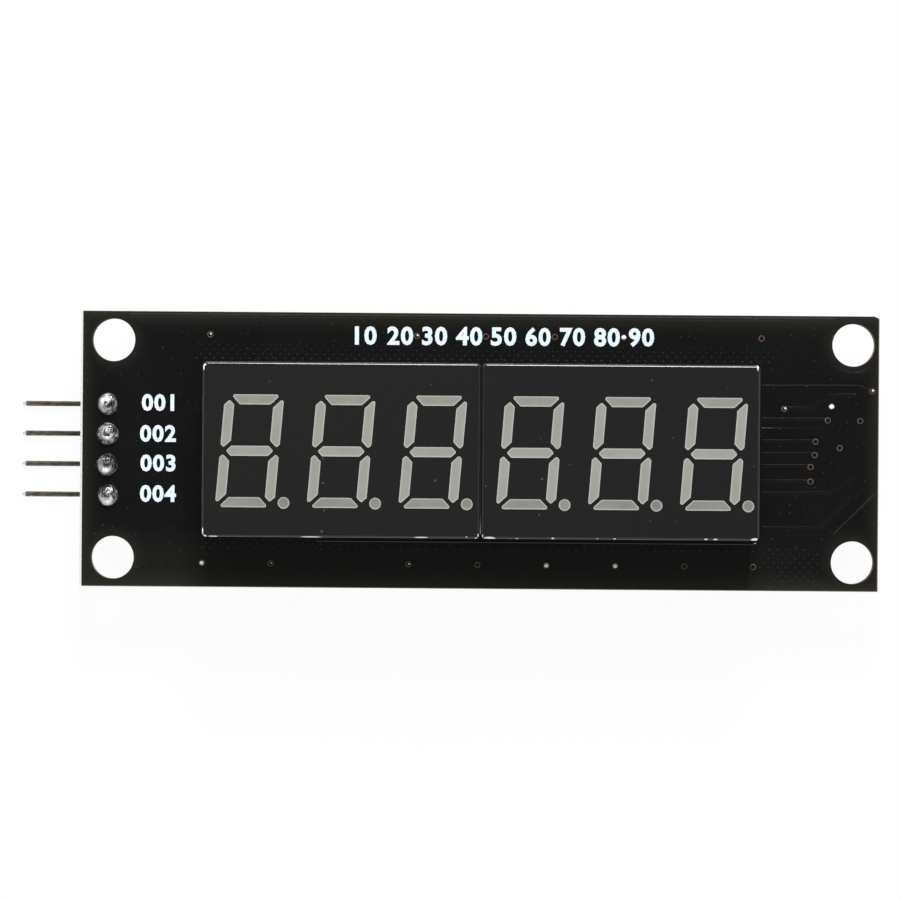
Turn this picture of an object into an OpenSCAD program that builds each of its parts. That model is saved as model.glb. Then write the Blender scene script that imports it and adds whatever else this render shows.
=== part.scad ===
// Six-digit seven segment display module: two three-digit LED displays side by
// side on one small circuit board, with a driver chip behind and a four-pin header.
// Millimetres. The board's back face is Z = 0, the displays look along +Z, and the
// origin is the middle of the four mounting holes.

/* [Circuit board] */
// From the right display to the board's right edge
right_margin = 10.22; // [10:0.02:16]
// Height of the board
board_h = 22.8; // [22:0.1:30]
// Thickness of the laminate
board_t = 1.6; // [1:0.1:2.4]
// Diameter of a mounting hole
hole_d = 3.4; // [2.6:0.1:3.5]
// From the board's left edge to the left mounting holes
hole_inset = 2.55; // [2.2:0.05:2.7]
// From the board's right edge to the right mounting holes
hole_inset_right = 2.15; // [2:0.05:2.7]
// From the board's long edges to the mounting holes
hole_inset_y = 2.4; // [2.1:0.05:2.7]
// Length of the sliver broken off the upper right corner
chip_off_w = 0.4; // [0.1:0.05:1]
// Height of that sliver
chip_off_h = 0.2; // [0.1:0.05:0.8]

/* [Plated vias] */
// Distance between neighbours in the two rows of vias
via_pitch = 5.7; // [5.5:0.05:5.8]
// From the board's upper edge to the upper row of vias
via_inset = 1.9; // [1.6:0.05:2]
// From the board's lower edge to the lower row of vias
via_inset_lower = 2.0; // [1.7:0.05:2.1]
// How far the upper row of vias stands right of the middle of the mounting holes
via_shift = 0.17; // [-0.3:0.01:0.5]
// How far the lower row of vias stands left of the middle of the mounting holes
via_shift_lower = 0.4; // [0.1:0.05:0.7]
// Diameter of a via's copper ring
via_ring_d = 0.5; // [0.4:0.02:0.6]
// Diameter of a via's open bore
via_bore_d = 0.22; // [0.15:0.01:0.26]
// Thickness of the plated copper
via_copper_t = 0.035; // [0.02:0.005:0.05]

/* [Displays] */
// Width of one display
display_w = 22.7; // [22.5:0.05:23.2]
// Height of one display
display_h = 14.15; // [14:0.05:14.6]
// Thickness of one display, board to face
display_t = 7.2; // [6.4:0.1:9]
// Gap between the two displays
display_gap = 0.16; // [0.05:0.01:0.3]
// From the board's left edge to the left display
display_inset = 10.12; // [9.9:0.02:10.3]
// How far the displays sit above the middle of the mounting holes
display_rise = 0.1; // [-0.2:0.05:0.3]
// Radius of a display's upright corners
housing_corner_r = 0.4; // [0.2:0.05:0.7]
// Radius of the rounded edge round a display's face
housing_bevel = 0.24; // [0.1:0.02:0.4]
// Thickness of the housing's walls behind the reflector
housing_wall = 0.7; // [0.5:0.05:0.8]
// From a display's side to its outer digit
digit_margin = 1.47; // [1.3:0.01:1.6]
// From a display's long sides to a digit, less the drop
digit_margin_y = 2.475; // [2.3:0.025:2.8]
// Gap between two digits, where a decimal point lies
digit_gap = 2.635; // [2.5:0.005:2.9]
// How far the digits sit below the middle of the face
digit_drop = 0.2; // [0:0.05:0.4]
// Lean of the digits, in degrees
digit_lean = 4.8; // [0:0.1:6]
// Width of a lit bar
bar_w = 0.82; // [0.6:0.01:0.9]
// Gap between two neighbouring bars
bar_gap = 0.35; // [0.25:0.01:0.45]
// Radius at a bar's corners
bar_corner_r = 0.15; // [0.08:0.01:0.2]
// Diameter of a decimal point
dot_d = 0.95; // [0.8:0.01:1]
// Gap between a digit's box and its decimal point
dot_gap = 0.38; // [0.34:0.01:0.4]
// Depth of the straight-walled window at the top of a light well
window_depth = 1.4; // [0.8:0.1:2]
// Size of a light well's floor, as a share of its window
well_floor = 0.6; // [0.5:0.05:0.8]

/* [Inside a display] */
// Thickness of the board that carries the light chips
carrier_t = 1.0; // [0.6:0.1:1.2]
// Gap between that board's edge and the housing's wall
carrier_gap = 0.25; // [0.15:0.05:0.4]
// Thickness of the resin behind that board
potting_t = 1.0; // [0.6:0.1:1.4]
// Thickness of the resin film between that board and the reflector
film_t = 0.2; // [0.1:0.05:0.3]
// Side of a light chip
die_w = 0.28; // [0.2:0.02:0.34]
// Height of a light chip
die_t = 0.12; // [0.08:0.01:0.16]
// Diameter of a display's pin
display_pin_d = 0.5; // [0.4:0.02:0.6]
// Distance between neighbouring pins of a display
display_pin_pitch = 2.54; // [2.4:0.01:2.6]
// From a display's long sides to its rows of pins
display_row_inset = 1.995; // [1.9:0.005:2.4]
// Diameter of the drilled holes for a display's pins
display_drill_d = 0.8; // [0.7:0.02:0.9]
// Length of a display's pin past the board's back
display_pin_tail = 1.1; // [0.9:0.1:2]

/* [Pin header] */
// Distance between neighbouring pins, and the size of the moulded strip
header_pitch = 2.54; // [2.4:0.01:2.6]
// Side of the square pin
header_pin_w = 0.5; // [0.4:0.02:0.64]
// From the board's left edge to the row of pins
header_inset = 2.07; // [1.9:0.01:2.2]
// How far the header sits below the middle of the mounting holes
header_drop = 0.1; // [-0.2:0.05:0.4]
// From the row of pins to the bent pins' tips
header_reach = 7.4; // [6:0.1:10]
// Radius on the inside of a pin's bend
header_bend_r = 0.5; // [0.3:0.05:0.8]
// Straight stretch of pin between the strip and the bend
header_drop_leg = 0.3; // [0.1:0.05:0.8]
// Length of the bevel at a pin's tip
header_tip = 0.35; // [0.2:0.05:0.6]
// Corner cut of the moulded strip
header_notch = 0.45; // [0.2:0.05:0.6]
// Diameter of the drilled holes for the header
header_drill_d = 1.0; // [0.92:0.02:1.1]
// Diameter of a solder dome over a header pin
dome_d = 1.66; // [1.5:0.02:1.9]
// Height of a solder dome
dome_t = 0.72; // [0.5:0.02:0.8]
// Length of pin that shows above its dome
dome_tail = 0.08; // [0.04:0.02:0.3]

/* [Driver chip] */
// From the end of the chip's body to the middle of its last lead
driver_end = 0.685; // [0.5:0.005:0.9]
// Width of the chip's body
driver_w = 7.5; // [7:0.1:7.6]
// Thickness of the chip's body
driver_t = 2.3; // [1.8:0.1:2.6]
// Gap under the chip's body
driver_standoff = 0.1; // [0.05:0.01:0.2]
// How far the leads reach past the chip's body
driver_lead_reach = 1.4; // [1.2:0.05:1.45]
// Leads on each side
driver_leads = 10; // [8:1:10]
// Distance between neighbouring leads
driver_lead_pitch = 1.27; // [1.2:0.01:1.3]
// Width of a lead
driver_lead_w = 0.42; // [0.3:0.02:0.42]
// Thickness of a lead
driver_lead_t = 0.25; // [0.15:0.01:0.3]
// Length of a lead's foot
driver_foot = 0.7; // [0.5:0.05:0.8]
// From the board's right edge to the tips of the chip's leads
driver_inset = 0.5; // [0.4:0.05:0.6]
// How far the chip sits above the middle of the mounting holes
driver_rise = 0.1; // [0.08:0.01:0.14]
// Diameter of the dimple that marks the chip's first lead
driver_mark_d = 1.0; // [0.6:0.1:1.4]
// From the chip's end and side to the middle of that dimple
driver_mark_inset = 1.2; // [0.9:0.1:1.6]
// Depth of that dimple
driver_mark_depth = 0.1; // [0.05:0.01:0.2]

/* [Small parts] */
// Length of a small resistor or capacitor
small_l = 1.6; // [1.4:0.05:1.8]
// Width of a small resistor or capacitor
small_w = 0.8; // [0.6:0.05:0.9]
// Thickness of a small resistor
resistor_t = 0.45; // [0.3:0.05:0.6]
// Thickness of a small capacitor
capacitor_t = 0.8; // [0.5:0.05:0.9]
// Length of the metal cap at each end of a small part
small_cap = 0.3; // [0.2:0.02:0.4]
// Distance between neighbouring small parts
small_pitch = 1.8; // [1.4:0.1:2]
// Gap between the driver chip's end and the capacitor beside it
bypass_gap = 1.4; // [0.6:0.1:1.8]
// From the board's left edge to the column of small parts
small_inset = 6.3; // [5.8:0.1:6.6]
// Length of the large capacitor
bulk_l = 3.2; // [3:0.1:3.4]
// Width of the large capacitor
bulk_w = 1.6; // [1.4:0.1:1.8]
// Thickness of the large capacitor
bulk_t = 1.5; // [1:0.1:1.8]
// Length of the metal cap at each end of the large capacitor
bulk_cap = 0.5; // [0.3:0.05:0.7]

/* [Hidden] */

$fn = 48;
cut = 1;

// Digits in one display, and pins in the header
digits = 3;
header_pins = 4;

// The board is as long as what stands on it, and the frame is centred on its mounting holes
display_pitch = display_w + display_gap;
board_w = display_inset + display_pitch + display_w + right_margin;
hole_span_x = board_w - hole_inset - hole_inset_right;
hole_span_y = board_h - 2 * hole_inset_y;
left_edge = -hole_span_x / 2 - hole_inset;
right_edge = left_edge + board_w;

// Where the two displays stand
display_x = [for (i = [0, 1]) left_edge + display_inset + display_w / 2 + i * display_pitch];
face_z = board_t + display_t;
cavity_t = potting_t + carrier_t + film_t;
carrier_z = board_t + potting_t;
reflector_z = board_t + cavity_t;
cavity_w = display_w - 2 * housing_wall;
cavity_h = display_h - 2 * housing_wall;

// A digit's outline: half its box, and the lines along which its bars are mitred.
// Two opposite corners are mitred through the box's corner, the other two inside it.
digit_w = (display_w - 2 * digit_margin - (digits - 1) * digit_gap) / digits;
digit_pitch = digit_w + digit_gap;
half_w = digit_w / 2;
half_h = display_h / 2 - digit_margin_y;
inner_w = half_w - bar_w;
mitre = bar_gap / sqrt(2);
sharp_corner = half_h - half_w;
blunt_corner = sharp_corner + 0.27 * bar_w;
waist = half_w - bar_w / 2 + bar_gap / 2;
waist_tip = 0.33 * bar_w;
waist_tip_x = waist + mitre - waist_tip;
dot_x = half_w + dot_gap;
dot_y = dot_d / 2 - half_h;

// Outline of the bar along the top; the one along the bottom is its half turn
top_bar = [
    [half_h - sharp_corner - mitre, half_h],
    [blunt_corner + mitre - half_h, half_h],
    [blunt_corner + mitre + bar_w - half_h, half_h - bar_w],
    [half_h - bar_w - sharp_corner - mitre, half_h - bar_w],
];
// Outline of the upper right bar; the lower left one is its half turn
sharp_bar = [
    [half_w, half_w + sharp_corner - mitre],
    [inner_w, inner_w + sharp_corner - mitre],
    [inner_w, waist + mitre - inner_w],
    [waist_tip_x, waist_tip],
    [half_w, waist_tip + half_w - waist_tip_x],
];
// Outline of the upper left bar; the lower right one is its half turn
blunt_bar = [
    [-half_w, inner_w + blunt_corner - mitre],
    [-half_w, waist_tip + half_w - waist_tip_x],
    [-waist_tip_x, waist_tip],
    [-inner_w, waist + mitre - inner_w],
    [-inner_w, inner_w + blunt_corner - mitre],
    [bar_w / 2 - half_w, half_w - bar_w / 2 + blunt_corner - mitre],
];
// Outline of the bar across the middle
middle_bar = [
    [waist - mitre, 0],
    [waist - mitre - bar_w / 2, bar_w / 2],
    [mitre + bar_w / 2 - waist, bar_w / 2],
    [mitre - waist, 0],
    [mitre + bar_w / 2 - waist, -bar_w / 2],
    [waist - mitre - bar_w / 2, -bar_w / 2],
];
half_turn = function (outline) [for (p = outline) -p];
leaning = function (outline) [for (p = outline) [p.x + p.y * tan(digit_lean), p.y]];
middle = function (outline) [for (k = [0, 1]) (max([for (p = outline) p[k]]) + min([for (p = outline) p[k]])) / 2];
bars = [for (b = [
    top_bar, sharp_bar, half_turn(blunt_bar), half_turn(top_bar),
    half_turn(sharp_bar), blunt_bar, middle_bar,
]) leaning(b)];

// Header, from its row of pins
header_x = left_edge + header_inset;
header_y = [for (i = [0 : header_pins - 1]) ((header_pins - 1) / 2 - i) * header_pitch - header_drop];
bend_r = header_bend_r + header_pin_w / 2;
leg_z = -header_pitch - header_drop_leg;

// Driver chip, with its long side up the board
driver_l = (driver_leads - 1) * driver_lead_pitch + 2 * driver_end;
driver_span = driver_w + 2 * driver_lead_reach;
driver_x = right_edge - driver_inset - driver_span / 2;
lead_z = driver_standoff + driver_t / 2;

// Vias: steps in the two rows that hold one, and those under the driver chip, which
// stand in steps of its leads
upper_via_steps = [-4, -1, 0, 1, 2, 4];
lower_via_steps = [-4, -3, -1, 0, 1, 2, 3, 4];
driver_via_steps = [
    [-1.73, 2.83], [1.34, 2.99], [3.98, 4.02], [1.1, 2.1], [3.21, 2.08],
    [0.31, 0.71], [1.89, 0.31], [0.26, -0.16], [0, -0.94], [0, -1.89],
];
via_places = concat(
    [for (k = upper_via_steps) [k * via_pitch + via_shift, board_h / 2 - via_inset]],
    [for (k = lower_via_steps) [k * via_pitch - via_shift_lower, via_inset_lower - board_h / 2]],
    [for (p = driver_via_steps) [driver_x, driver_rise] + driver_lead_pitch * p]
);
via_barrel_d = via_bore_d + 2 * via_copper_t;

// Places of a display's pins: a full row along the top, one pin fewer along the bottom
pins_in_row = 6;
row_y = display_h / 2 - display_row_inset;
display_pin_places = [for (row = [1, -1]) for (i = [0 : pins_in_row - (row > 0 ? 1 : 2)])
    [(i - (pins_in_row - 1) / 2) * display_pin_pitch, row * row_y + display_rise]];

// Small parts in a column beside the header, behind the board
small_x = left_edge + small_inset;
small_y = [for (k = [1.5, 0.5, -0.5, -1.5]) k * small_pitch];
bulk_y = -3 * small_pitch - bulk_w / 2;
bypass_place = [driver_x - driver_w / 4, driver_rise + driver_l / 2 + bypass_gap + small_w / 2];

module circuit_board() {
    color("#16181a")
    difference() {
        translate([left_edge, -board_h / 2, 0]) cube([board_w, board_h, board_t]);
        for (x = [-1, 1], y = [-1, 1])
            translate([x * hole_span_x / 2, y * hole_span_y / 2, -cut])
                cylinder(d = hole_d, h = board_t + 2 * cut);
        for (y = header_y)
            translate([header_x, y, -cut]) cylinder(d = header_drill_d, h = board_t + 2 * cut);
        for (x = display_x, p = display_pin_places)
            translate([x + p.x, p.y, -cut]) cylinder(d = display_drill_d, h = board_t + 2 * cut);
        for (p = via_places)
            translate([p.x, p.y, -cut]) cylinder(d = via_barrel_d, h = board_t + 2 * cut);
        corner_break();
    }
}

// The sliver that is missing from the board's upper right corner
module corner_break() {
    translate([right_edge, board_h / 2, -cut])
        linear_extrude(board_t + 2 * cut)
            polygon([[-chip_off_w, 0], [-chip_off_w, cut], [cut, cut], [cut, -chip_off_h], [0, -chip_off_h]]);
}

module plated_vias() {
    color("#c98a52")
    for (p = via_places)
        translate([p.x, p.y, 0])
            rotate_extrude()
                polygon([
                    [via_bore_d / 2, -via_copper_t], [via_ring_d / 2, -via_copper_t], [via_ring_d / 2, 0],
                    [via_barrel_d / 2, 0], [via_barrel_d / 2, board_t], [via_ring_d / 2, board_t],
                    [via_ring_d / 2, board_t + via_copper_t], [via_bore_d / 2, board_t + via_copper_t],
                ]);
}

// Moulded strip: one block with cut corners for each pin, on the board's back
module header_strip() {
    half = header_pitch / 2;
    color("#1b1b1c")
    difference() {
        translate([header_x, 0, -header_pitch])
            linear_extrude(header_pitch)
                polygon(concat(
                    [for (i = [header_pins - 1 : -1 : 0]) for (p = [
                        [half - header_notch, -half], [half, header_notch - half],
                        [half, half - header_notch], [half - header_notch, half],
                    ]) [p.x, header_y[i] + p.y]],
                    [for (i = [0 : header_pins - 1]) for (p = [
                        [header_notch - half, half], [-half, half - header_notch],
                        [-half, header_notch - half], [header_notch - half, -half],
                    ]) [p.x, header_y[i] + p.y]]
                ));
        for (y = header_y)
            translate([header_x - header_pin_w / 2, y - header_pin_w / 2, -header_pitch - cut])
                cube([header_pin_w, header_pin_w, header_pitch + 2 * cut]);
    }
}

// A square bar that narrows to a third at its far end, along +Z
module pin_tip() {
    linear_extrude(header_tip, scale = 0.4) square(header_pin_w, center = true);
}

// One bent pin: up through the strip and the board, then out past the left edge
module header_pin(i) {
    top = board_t + dome_t + dome_tail;
    run = header_reach - bend_r - header_tip;
    color("#8a8378")
    translate([header_x, header_y[i], 0]) {
        translate([-header_pin_w / 2, -header_pin_w / 2, leg_z])
            cube([header_pin_w, header_pin_w, top - leg_z]);
        translate([-bend_r, 0, leg_z])
            rotate([90, 0, 0])
                rotate([0, 0, -90])
                    rotate_extrude(angle = 90)
                        translate([header_bend_r, -header_pin_w / 2]) square(header_pin_w);
        translate([-bend_r - run, -header_pin_w / 2, leg_z - bend_r - header_pin_w / 2])
            cube([run, header_pin_w, header_pin_w]);
        translate([-bend_r - run, 0, leg_z - bend_r])
            rotate([0, -90, 0]) pin_tip();
    }
}

// Solder of one header pin: it fills the drilled hole and stands as a dome on the front
module header_solder_joint(y) {
    ball_r = (pow(dome_d / 2, 2) + pow(dome_t, 2)) / (2 * dome_t);
    translate([header_x, y, 0])
        difference() {
            union() {
                cylinder(d = header_drill_d, h = board_t);
                intersection() {
                    translate([0, 0, board_t + dome_t - ball_r]) sphere(r = ball_r);
                    translate([-dome_d, -dome_d, board_t]) cube([2 * dome_d, 2 * dome_d, 2 * dome_t]);
                }
            }
            translate([-header_pin_w / 2, -header_pin_w / 2, -cut])
                cube([header_pin_w, header_pin_w, board_t + dome_t + 2 * cut]);
        }
}

module header_solder_joints() {
    color("#c9c9c4")
    for (y = header_y) header_solder_joint(y);
}

// Places every digit of a display: its children are drawn about a digit's middle
module at_digits(x) {
    for (i = [0 : digits - 1])
        translate([x + (i - (digits - 1) / 2) * digit_pitch, display_rise - digit_drop, 0]) children();
}

// Outline of one bar with its corners rounded
module bar_outline(bar) {
    offset(r = bar_corner_r) offset(delta = -bar_corner_r) polygon(bar);
}

// One light well: a straight window at the face, then walls that close in on the light chip
module light_wells(over) {
    funnel_t = display_t - cavity_t - window_depth;
    for (bar = bars) {
        translate([0, 0, face_z - window_depth]) linear_extrude(window_depth + over) bar_outline(bar);
        c = middle(bar);
        translate([c.x, c.y, reflector_z])
            linear_extrude(funnel_t, scale = 0.9 / well_floor)
                polygon([for (p = bar) (p - c) * well_floor]);
    }
    translate([dot_x, dot_y, face_z - window_depth]) cylinder(d = dot_d, h = window_depth + over);
    translate([dot_x, dot_y, reflector_z])
        cylinder(d1 = dot_d * well_floor, d2 = dot_d * 0.9, h = funnel_t);
}

// Outer block of a housing: upright corners are rounded, and so is the edge round the face
module housing_block() {
    steps = 4;
    corner_x = display_w / 2 - housing_corner_r;
    corner_y = display_h / 2 - housing_corner_r;
    inset = [for (i = [0 : steps]) housing_bevel * (1 - cos(90 * i / steps))];
    level = [for (i = [0 : steps]) face_z - housing_bevel * (1 - sin(90 * i / steps))];
    hull()
        for (x = [-corner_x, corner_x], y = [-corner_y, corner_y])
            translate([x, y, 0]) {
                translate([0, 0, board_t])
                    cylinder(r = housing_corner_r, h = level[0] - board_t, $fn = 32);
                for (i = [0 : steps - 1])
                    translate([0, 0, level[i]])
                        cylinder(r1 = housing_corner_r - inset[i], r2 = housing_corner_r - inset[i + 1],
                            h = level[i + 1] - level[i], $fn = 32);
            }
}

// Moulded housing of one display: a light well for each bar and point, a rounded
// edge round the face, and a recess behind for the carrier board
module display_housing(x) {
    color("#2b2c2c")
    difference() {
        translate([x, display_rise, 0]) housing_block();
        translate([x - cavity_w / 2, display_rise - cavity_h / 2, board_t - cut])
            cube([cavity_w, cavity_h, cavity_t + cut]);
        at_digits(x) light_wells(cut);
    }
}

module carrier_block(x) {
    w = cavity_w - 2 * carrier_gap;
    h = cavity_h - 2 * carrier_gap;
    translate([x - w / 2, display_rise - h / 2, carrier_z]) cube([w, h, carrier_t]);
}

module light_chip_block() {
    translate([-die_w / 2, -die_w / 2, carrier_z + carrier_t]) cube([die_w, die_w, die_t]);
}

// One light chip on the floor of every well
module light_chips() {
    for (bar = bars) translate(middle(bar)) light_chip_block();
    translate([dot_x, dot_y]) light_chip_block();
}

module display_pin_rods(x) {
    for (p = display_pin_places)
        translate([x + p.x, p.y, -display_pin_tail])
            cylinder(d = display_pin_d, h = carrier_z + carrier_t + display_pin_tail);
}

// Milky resin, cast from behind: it fills the wells up to the face and seals the back
module display_resin(x) {
    color("#bcb9b0")
    difference() {
        union() {
            translate([x - cavity_w / 2, display_rise - cavity_h / 2, board_t])
                cube([cavity_w, cavity_h, cavity_t]);
            at_digits(x) light_wells(0);
        }
        carrier_block(x);
        display_pin_rods(x);
        at_digits(x) light_chips();
    }
}

module display_carrier(x) {
    color("#3f6b4a")
    difference() {
        carrier_block(x);
        display_pin_rods(x);
    }
}

module display_light_chips(x) {
    color("#d8c36a")
    at_digits(x) light_chips();
}

module display_pins(x) {
    color("#b9b9b6")
    display_pin_rods(x);
}

// Solder of a display's pins: it fills each drilled hole and climbs the pin behind the board
module display_solder_joints(x) {
    foot_r = 0.95 * display_drill_d;
    climb = 0.8 * display_pin_tail;
    pin_r = display_pin_d / 2;
    steps = 5;
    color("#c2c2be")
    for (p = display_pin_places)
        translate([x + p.x, p.y, 0])
            rotate_extrude()
                polygon(concat(
                    [[pin_r, board_t], [pin_r, -climb]],
                    [for (i = [0 : steps]) let (a = 90 * i / steps)
                        [pin_r + 0.06 + (foot_r - pin_r - 0.06) * (1 - cos(a)), -climb * (1 - sin(a))]],
                    [[display_drill_d / 2, 0], [display_drill_d / 2, board_t]]
                ));
}

// Moulded body of the driver chip, drafted both ways from its middle
module driver_chip_body() {
    draft = 0.08 * driver_t;
    band = 1.2 * driver_lead_t;
    side = function (half) [
        [half - draft, -driver_standoff], [half, band / 2 - lead_z], [half, -lead_z - band / 2],
        [half - draft, -driver_standoff - driver_t], [draft - half, -driver_standoff - driver_t],
        [-half, -lead_z - band / 2], [-half, band / 2 - lead_z], [draft - half, -driver_standoff],
    ];
    color("#202122")
    translate([driver_x, driver_rise, 0])
        difference() {
            intersection() {
                rotate([90, 0, 0]) linear_extrude(driver_l, center = true) polygon(side(driver_w / 2));
                rotate([90, 0, 90]) linear_extrude(driver_w, center = true) polygon(side(driver_l / 2));
            }
            translate([
                driver_w / 2 - driver_mark_inset, driver_l / 2 - driver_mark_inset,
                -driver_standoff - driver_t - cut,
            ])
                cylinder(d = driver_mark_d, h = cut + driver_mark_depth);
        }
}

// Gull-wing leads: out of the body's side, down to the board, and a flat foot on it
module driver_chip_leads() {
    t = driver_lead_t;
    inner = driver_w / 2;
    tip = driver_span / 2;
    heel = tip - driver_foot;
    shoulder = (inner + heel) / 2 + 0.1 * t;
    lead = [
        [inner, -lead_z - t / 2], [shoulder, -lead_z - t / 2], [heel + 0.6 * t, -t], [tip, -t], [tip, 0],
        [heel - 0.1 * t, 0], [shoulder - 0.7 * t, t / 2 - lead_z], [inner, t / 2 - lead_z],
    ];
    color("#b4b5b3")
    for (side = [0, 180], i = [0 : driver_leads - 1])
        translate([driver_x, driver_rise + (i - (driver_leads - 1) / 2) * driver_lead_pitch, 0])
            rotate([0, 0, side])
                rotate([90, 0, 0])
                    linear_extrude(driver_lead_w, center = true) polygon(lead);
}

// Body of a small part that lies along X on the board's back, between its end caps
module part_body(place, l, w, t, cap) {
    translate([place.x - l / 2 + cap, place.y - w / 2, -t]) cube([l - 2 * cap, w, t]);
}

module part_caps(place, l, w, t, cap) {
    for (x = [place.x - l / 2, place.x + l / 2 - cap])
        translate([x, place.y - w / 2, -t]) cube([cap, w, t]);
}

module pull_up_resistors() {
    color("#1d1e20")
    for (i = [0, 1]) part_body([small_x, small_y[i]], small_l, small_w, resistor_t, small_cap);
}

module filter_capacitors() {
    color("#a98a67")
    for (i = [2, 3]) part_body([small_x, small_y[i]], small_l, small_w, capacitor_t, small_cap);
}

module bypass_capacitor() {
    color("#a98a67")
    part_body(bypass_place, small_l, small_w, capacitor_t, small_cap);
}

module bulk_capacitor() {
    color("#9b7f60")
    part_body([small_x, bulk_y], bulk_l, bulk_w, bulk_t, bulk_cap);
}

module end_caps() {
    color("#c6c7c5") {
        for (i = [0, 1]) part_caps([small_x, small_y[i]], small_l, small_w, resistor_t, small_cap);
        for (i = [2, 3]) part_caps([small_x, small_y[i]], small_l, small_w, capacitor_t, small_cap);
        part_caps(bypass_place, small_l, small_w, capacitor_t, small_cap);
        part_caps([small_x, bulk_y], bulk_l, bulk_w, bulk_t, bulk_cap);
    }
}

circuit_board();
plated_vias();
header_strip();
header_pin(0);  // header_pin_1
header_pin(1);  // header_pin_2
header_pin(2);  // header_pin_3
header_pin(3);  // header_pin_4
header_solder_joints();
display_housing(display_x[0]);  // left_display_housing
display_resin(display_x[0]);  // left_display_resin
display_carrier(display_x[0]);  // left_display_carrier
display_light_chips(display_x[0]);  // left_display_light_chips
display_pins(display_x[0]);  // left_display_pins
display_solder_joints(display_x[0]);  // left_display_solder_joints
display_housing(display_x[1]);  // right_display_housing
display_resin(display_x[1]);  // right_display_resin
display_carrier(display_x[1]);  // right_display_carrier
display_light_chips(display_x[1]);  // right_display_light_chips
display_pins(display_x[1]);  // right_display_pins
display_solder_joints(display_x[1]);  // right_display_solder_joints
driver_chip_body();
driver_chip_leads();
pull_up_resistors();
filter_capacitors();
bypass_capacitor();
bulk_capacitor();
end_caps();
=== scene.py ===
import math
from itertools import product

import bmesh
import bpy
from mathutils import Matrix, Vector, noise


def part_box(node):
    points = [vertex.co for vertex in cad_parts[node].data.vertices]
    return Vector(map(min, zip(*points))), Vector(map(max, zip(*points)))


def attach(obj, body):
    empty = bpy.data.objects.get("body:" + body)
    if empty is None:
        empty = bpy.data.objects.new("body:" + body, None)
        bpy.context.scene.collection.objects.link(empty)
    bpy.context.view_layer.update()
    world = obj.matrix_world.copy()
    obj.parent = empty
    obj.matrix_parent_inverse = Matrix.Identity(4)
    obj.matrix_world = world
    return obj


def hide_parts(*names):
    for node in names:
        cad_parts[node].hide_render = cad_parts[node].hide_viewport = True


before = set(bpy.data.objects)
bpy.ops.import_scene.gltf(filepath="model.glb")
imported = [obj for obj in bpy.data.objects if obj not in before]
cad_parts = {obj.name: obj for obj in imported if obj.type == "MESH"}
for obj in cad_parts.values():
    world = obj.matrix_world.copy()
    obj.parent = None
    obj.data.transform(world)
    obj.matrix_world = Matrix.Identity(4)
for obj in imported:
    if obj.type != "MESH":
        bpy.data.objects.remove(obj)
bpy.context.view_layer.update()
MM = 0.001

# Sizes and places of the module, in mm; the frame's origin is on the board's back

BOARD_TOP = 1.6
BOARD_LEFT = -33.15
FACE_TOP = 8.8                       # the front of the displays
HOLE_X, HOLE_Y = 30.6, 9.0           # the mounting holes, from the middle of the four
HOLE_RADIUS = 1.7
JOINT_X, FIRST_JOINT_Y = -31.08, 3.71
PIN_PITCH = 2.54
VIA_PITCH = 5.7
FLOOR = -3.9                         # just below the header's pins

# Camera: straight above the board and far off, turned by a hair as the photograph is

PICTURE = 900                        # pixels, across and down
PIXELS_PER_MM = 12.09                # on the board's front
DISTANCE = 480.0                     # mm from the lens to the board's front
CAMERA_X, CAMERA_Y = -2.734, 0.086   # mm
ROLL = math.radians(0.43)
ROW_FALL = 0.0075                    # pixels that a row falls in the picture for each pixel across

scene = bpy.context.scene
camera_data = bpy.data.cameras.new("camera")
camera_data.sensor_width = 36
camera_data.lens = DISTANCE * PIXELS_PER_MM * camera_data.sensor_width / PICTURE
camera_data.clip_start, camera_data.clip_end = 0.02, 20
camera = bpy.data.objects.new("camera", camera_data)
camera.location = Vector((CAMERA_X, CAMERA_Y, BOARD_TOP + DISTANCE)) * MM
camera.rotation_euler = (0, 0, ROLL)
scene.collection.objects.link(camera)
scene.camera = camera
scene.view_settings.view_transform = "Standard"


def from_picture(px, py, height=BOARD_TOP):
    """The place in mm, at a height above the board's back, that a pixel of the photograph shows."""
    scale = PIXELS_PER_MM * DISTANCE / (DISTANCE + BOARD_TOP - height)
    right, down = (px - PICTURE / 2) / scale, (py - PICTURE / 2) / scale
    return (
        CAMERA_X + right * math.cos(ROLL) + down * math.sin(ROLL),
        CAMERA_Y + right * math.sin(ROLL) - down * math.cos(ROLL),
    )


# Materials

def linear(code):
    """An sRGB hex colour as the linear colour that a socket takes."""
    parts = [int(code[i:i + 2], 16) / 255 for i in (0, 2, 4)]
    return tuple(p / 12.92 if p <= 0.04045 else ((p + 0.055) / 1.055) ** 2.4 for p in parts) + (1.0,)


def add(tree, kind, sockets=None, **settings):
    """Adds a node: the settings go on the node, and a socket takes a value or another node's output."""
    node = tree.nodes.new("ShaderNode" + kind)
    for name, value in settings.items():
        setattr(node, name, value)
    for name, value in (sockets or {}).items():
        if isinstance(value, bpy.types.NodeSocket):
            tree.links.new(value, node.inputs[name])
        else:
            node.inputs[name].default_value = value
    return node


def begin(name, roughness, metallic=0.0):
    """A new material: its tree, its shader, and the Object coordinates in millimetres."""
    made = bpy.data.materials.new(name)
    made.use_nodes = True
    tree = made.node_tree
    shader = tree.nodes["Principled BSDF"]
    shader.inputs["Roughness"].default_value = roughness
    shader.inputs["Metallic"].default_value = metallic
    place = add(tree, "TexCoord").outputs["Object"]
    mm = add(tree, "VectorMath", {0: place, "Scale": 1 / MM}, operation="SCALE").outputs[0]
    return made, tree, shader, mm


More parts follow.
